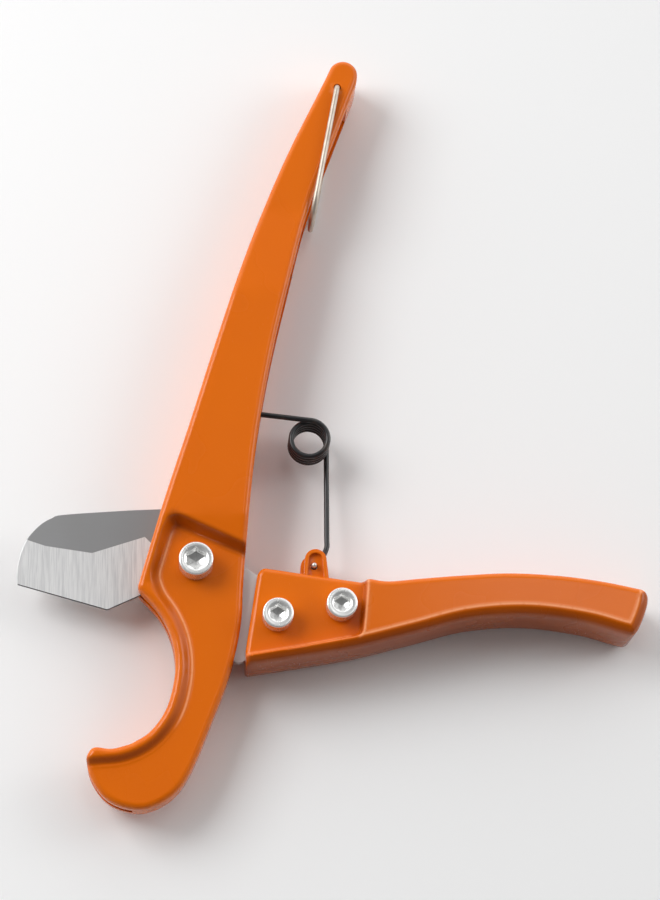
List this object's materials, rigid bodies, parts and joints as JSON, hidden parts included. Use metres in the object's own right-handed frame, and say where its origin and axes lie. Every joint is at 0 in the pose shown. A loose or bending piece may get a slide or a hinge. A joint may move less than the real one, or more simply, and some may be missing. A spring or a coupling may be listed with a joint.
{
  "type": "pvc pipe cutter",
  "caption": "One-hand cutter for plastic pipe: a squeezed handle swings a flat blade into the hooked jaw of a fixed handle.",
  "frame": {"origin": "middle of the outline seen from the front, on the plane of the handles' rear faces", "axes": "+Z is the thickness, from the rear faces to the screw heads; +Y runs along the fixed handle to its tip; +X runs along the opened moving handle"},
  "size_m": [0.1848, 0.2342, 0.0218],
  "materials": {
    "orange_paint": "glossy orange paint on a die casting",
    "blade_steel": "ground",
    "plated_steel": "bright plating",
    "black_spring_steel": "black oxide"
  },
  "bodies": {
    "fixed": {"fixed_jaw_handle": "orange_paint", "pivot_screw": "plated_steel", "pivot_lock_washer": "plated_steel", "pivot_nut": "plated_steel", "pivot_sleeve": "plated_steel", "bearing_washer_front": "plated_steel", "bearing_washer_rear": "plated_steel"},
    "moving": {"moving_handle": "orange_paint", "blade": "blade_steel", "clamp_inner_screw": "plated_steel", "clamp_inner_lock_washer": "plated_steel", "clamp_inner_nut": "plated_steel", "clamp_outer_screw": "plated_steel", "clamp_outer_lock_washer": "plated_steel", "clamp_outer_nut": "plated_steel"},
    "spring_lower": {"spring_lower_arm": "black_spring_steel"},
    "spring_upper": {"spring_upper_arm": "black_spring_steel"},
    "bail": {"wire_bail": "plated_steel"}
  },
  "joints": [
    {"name": "handle_pivot", "type": "hinge", "parent": "fixed", "child": "moving", "pos_m": [-0.0402, -0.04525, 0.01], "axis": [0, 0, 1], "range_deg": [0, 72], "stiffness_Nm_per_rad": 0.4, "springref_deg": -28.65},
    {"name": "spring_lug_hinge", "type": "hinge", "parent": "moving", "child": "spring_lower", "pos_m": [-0.0056, -0.04605, 0.01], "axis": [0, 0, 1], "range_deg": [-92, 2]},
    {"name": "spring_coil_hinge", "type": "hinge", "parent": "spring_lower", "child": "spring_upper", "pos_m": [-0.006, -0.00595, 0.01], "axis": [0, 0, 1], "range_deg": [-2, 88]},
    {"name": "bail_swing", "type": "hinge", "parent": "fixed", "child": "bail", "pos_m": [0.0045, 0.10765, 0.01], "axis": [0, 0, 1], "range_deg": [0, 190]}
  ],
  "couplings": [
    {"joint": "spring_lug_hinge", "follows": "handle_pivot", "ratio": -1.25},
    {"joint": "spring_coil_hinge", "follows": "handle_pivot", "ratio": 1.194}
  ]
}
